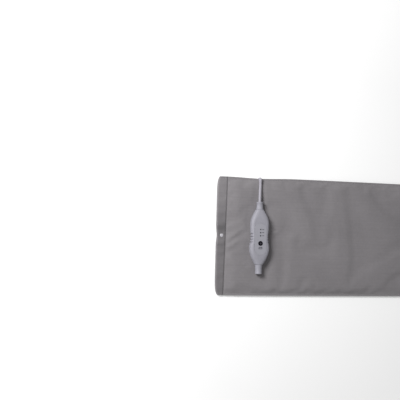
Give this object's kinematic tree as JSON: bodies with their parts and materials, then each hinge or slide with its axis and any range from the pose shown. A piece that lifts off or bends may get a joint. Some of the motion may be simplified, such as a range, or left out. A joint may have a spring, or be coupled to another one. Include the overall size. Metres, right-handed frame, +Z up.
{
  "type": "heating pad with controller",
  "caption": "Grey fabric heating pad whose cover closes with a snap, with a white push-button hand controller on a short lead lying on it.",
  "frame": {"origin": "middle of the pad's outline, on the surface that the pad lies on", "axes": "+X along the pad, away from the hem with the snap; +Y across it, towards the edge where the lead leaves; +Z up, out of the side that carries the controller"},
  "size_m": [0.609, 0.304, 0.0339],
  "materials": {
    "fabric": "soft brushed polyester, matt grey",
    "snap_plastic": "smooth off-white moulded plastic",
    "layer_vinyl": "sealed soft vinyl sheet",
    "wire_sleeve": "heating wire in a soft sleeve",
    "lead_vinyl": "soft white cord vinyl",
    "white_plastic": "satin white moulded plastic",
    "panel_film": "matt film",
    "black_plastic": "black moulded plastic",
    "lamp": "smoked lamp lens",
    "board": "green solder mask",
    "component_red": "red plastic",
    "core_black": "black core insulation",
    "steel": "bright steel"
  },
  "bodies": {
    "pad": {"cover_front_panel": "fabric", "cover_back_panel": "fabric", "inner_pad_upper_layer": "layer_vinyl", "inner_pad_lower_layer": "layer_vinyl", "heating_wire": "wire_sleeve", "heat_sensor_left": "black_plastic", "heat_sensor_right": "black_plastic", "junction_block": "lead_vinyl", "lead_outlet": "lead_vinyl", "pad_lead": "lead_vinyl", "snap_stud": "snap_plastic", "snap_back_ring": "snap_plastic"},
    "hem_flap": {"cover_front_hem": "fabric", "snap_cap": "snap_plastic", "snap_socket": "snap_plastic"},
    "controller": {"controller_front_shell": "white_plastic", "controller_rear_shell": "white_plastic", "face_panel": "panel_film", "upper_neck": "white_plastic", "lower_neck": "white_plastic", "tact_switch": "black_plastic", "led_high": "lamp", "led_medium": "lamp", "led_low": "lamp", "circuit_board": "board", "microcontroller": "black_plastic", "triac": "black_plastic", "film_capacitor": "component_red", "fuse": "steel", "lead_wire_live": "component_red", "lead_wire_neutral": "core_black", "case_screw_1": "steel", "case_screw_2": "steel", "case_screw_3": "steel", "case_screw_4": "steel"},
    "button": {"power_button": "black_plastic", "switch_plunger": "black_plastic"}
  },
  "joints": [
    {"name": "hem_flap_fold", "type": "hinge", "parent": "pad", "child": "hem_flap", "pos_m": [-0.2805, 0, 0.0061], "axis": [0.018, 0.9998, 0], "range_deg": [0, 75]},
    {"name": "controller_lift", "type": "hinge", "parent": "pad", "child": "controller", "pos_m": [-0.1933, 0.114, 0.01575], "axis": [-1, 0, 0], "range_deg": [0, 80], "deforming": ["pad_lead"]},
    {"name": "power_button_press", "type": "slide", "parent": "controller", "child": "button", "axis": [0, 0, -1], "range_m": [0, 0.001], "stiffness_N_per_m": 800}
  ]
}
